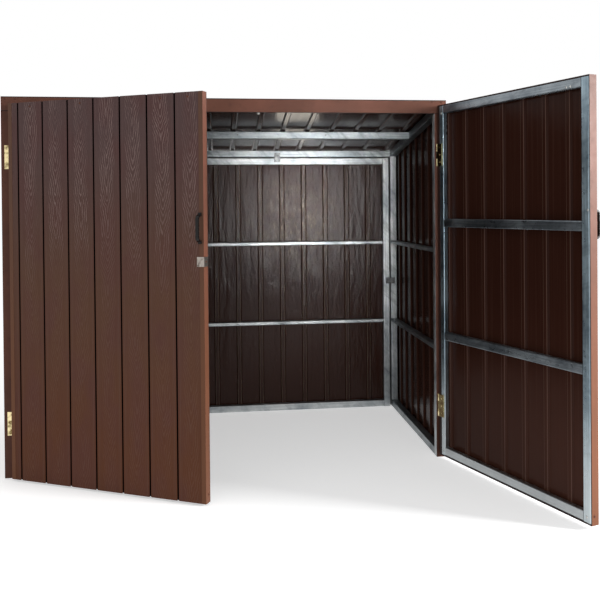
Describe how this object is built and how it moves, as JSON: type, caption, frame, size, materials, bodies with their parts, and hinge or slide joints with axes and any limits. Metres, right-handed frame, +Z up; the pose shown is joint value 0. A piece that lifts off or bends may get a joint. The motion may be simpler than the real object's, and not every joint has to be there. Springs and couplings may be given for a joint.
{
  "type": "bike shelter",
  "caption": "Lean-to bike shelter of ribbed steel sheet on square tube frames, with a low sloping roof and two full-height hinged doors standing open.",
  "frame": {"origin": "middle of the underside of the back wall's sill, which rests on the ground", "axes": "+Z up, +Y from the doors towards the back wall, +X to the right seen from the front"},
  "size_m": [2.4667, 2.0789, 1.78],
  "materials": {
    "brown_sheet": "wood-grain printed and embossed coated steel, satin",
    "brown_trim": "reddish-brown coated steel, satin",
    "galvanised_tube": "galvanised, dull with a faint spangle",
    "brass_hinge": "plated, worn satin",
    "black_handle": "smooth black",
    "zinc_plate": "zinc plated"
  },
  "bodies": {
    "shelter": {"left_front_post": "galvanised_tube", "right_front_post": "galvanised_tube", "left_wall_rear_stile": "galvanised_tube", "right_wall_rear_stile": "galvanised_tube", "left_wall_rails": "galvanised_tube", "right_wall_rails": "galvanised_tube", "left_wall_sheet": "brown_sheet", "right_wall_sheet": "brown_sheet", "back_wall_left_stile": "galvanised_tube", "back_wall_right_stile": "galvanised_tube", "back_wall_sill": "galvanised_tube", "back_wall_mid_rails": "galvanised_tube", "back_wall_top_rail": "galvanised_tube", "back_wall_sheet": "brown_sheet", "front_header_rail": "galvanised_tube", "roof_mid_purlin": "galvanised_tube", "roof_rear_rail": "galvanised_tube", "roof_sheet": "brown_sheet", "front_fascia": "brown_trim", "left_front_corner_trim": "brown_trim", "right_front_corner_trim": "brown_trim", "left_rear_corner_trim": "brown_trim", "right_rear_corner_trim": "brown_trim", "left_verge_trim": "brown_trim", "right_verge_trim": "brown_trim", "rear_eave_trim": "brown_trim", "joiner_plates": "zinc_plate", "left_post_hinge_leaves": "brass_hinge", "right_post_hinge_leaves": "brass_hinge"},
    "left_door": {"left_door_hinge_stile": "galvanised_tube", "left_door_free_stile": "galvanised_tube", "left_door_rails": "galvanised_tube", "left_door_sheet": "brown_sheet", "left_door_edge_trims": "brown_trim", "left_door_hinge_leaves": "brass_hinge", "left_door_handle": "black_handle", "left_door_hasp": "zinc_plate"},
    "right_door": {"right_door_hinge_stile": "galvanised_tube", "right_door_free_stile": "galvanised_tube", "right_door_rails": "galvanised_tube", "right_door_sheet": "brown_sheet", "right_door_edge_trims": "brown_trim", "right_door_hinge_leaves": "brass_hinge", "right_door_handle": "black_handle"}
  },
  "joints": [
    {"name": "left_door_hinge", "type": "hinge", "parent": "shelter", "child": "left_door", "pos_m": [-1.015, -1.05, 0.87], "axis": [0, 0, 1], "range_deg": [-83.2, 26.8]},
    {"name": "right_door_hinge", "type": "hinge", "parent": "shelter", "child": "right_door", "pos_m": [1.015, -1.05, 0.87], "axis": [0, 0, 1], "range_deg": [-109, 1]}
  ]
}
